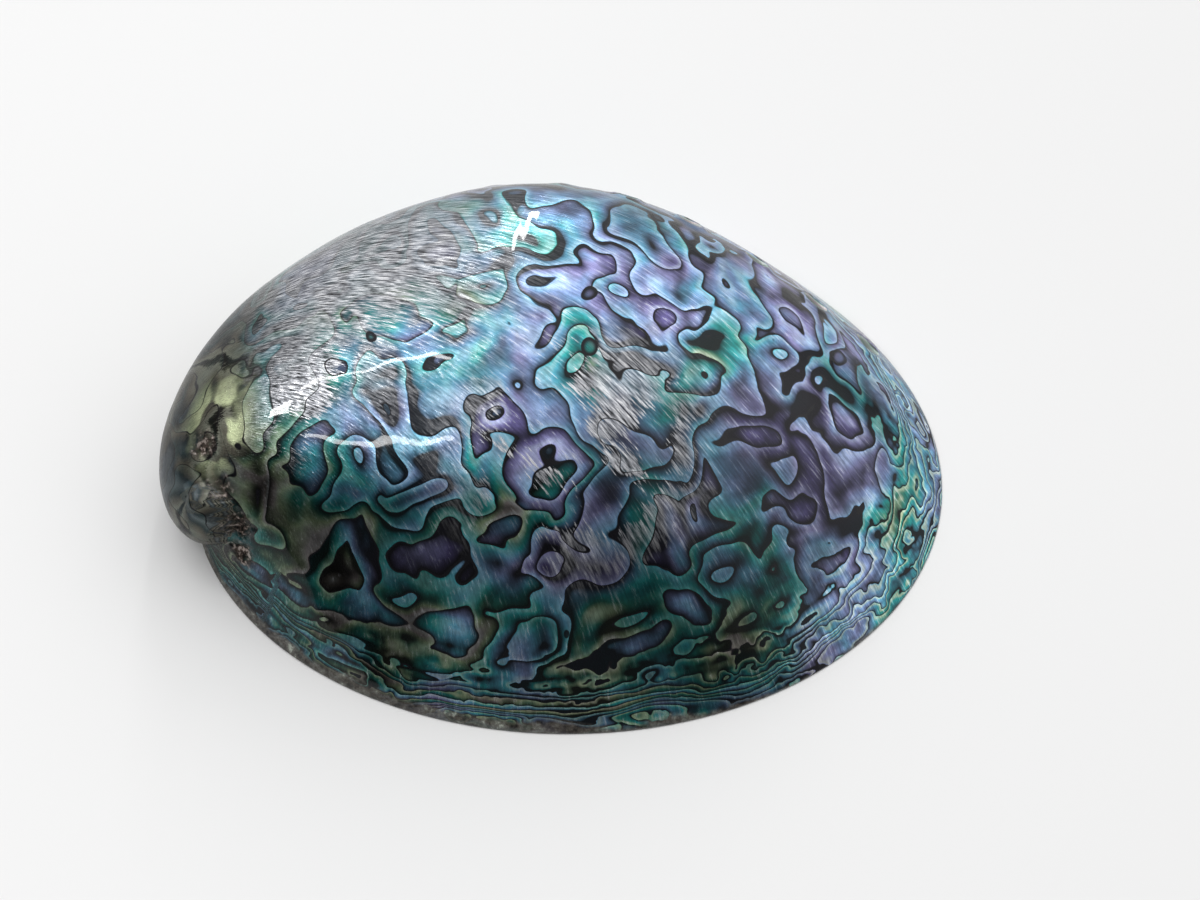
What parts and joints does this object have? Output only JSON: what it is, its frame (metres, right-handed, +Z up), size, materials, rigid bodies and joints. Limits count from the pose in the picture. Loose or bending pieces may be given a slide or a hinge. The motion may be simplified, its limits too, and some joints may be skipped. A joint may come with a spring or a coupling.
{
  "type": "abalone shell",
  "caption": "Polished abalone shell, an oval dome open below, with a low coiled spire at one end and a curving row of breathing holes along one side.",
  "frame": {"origin": "on the ground at the middle of the outline, under the shell lying mouth down on its rim", "axes": "+X from the spire to the growing edge, +Y to the side with the breathing holes, +Z up out of the dome"},
  "size_m": [0.1548, 0.1178, 0.0415],
  "materials": {
    "nacre": "polished"
  },
  "bodies": {
    "root": {"shell": "nacre"}
  },
  "joints": []
}
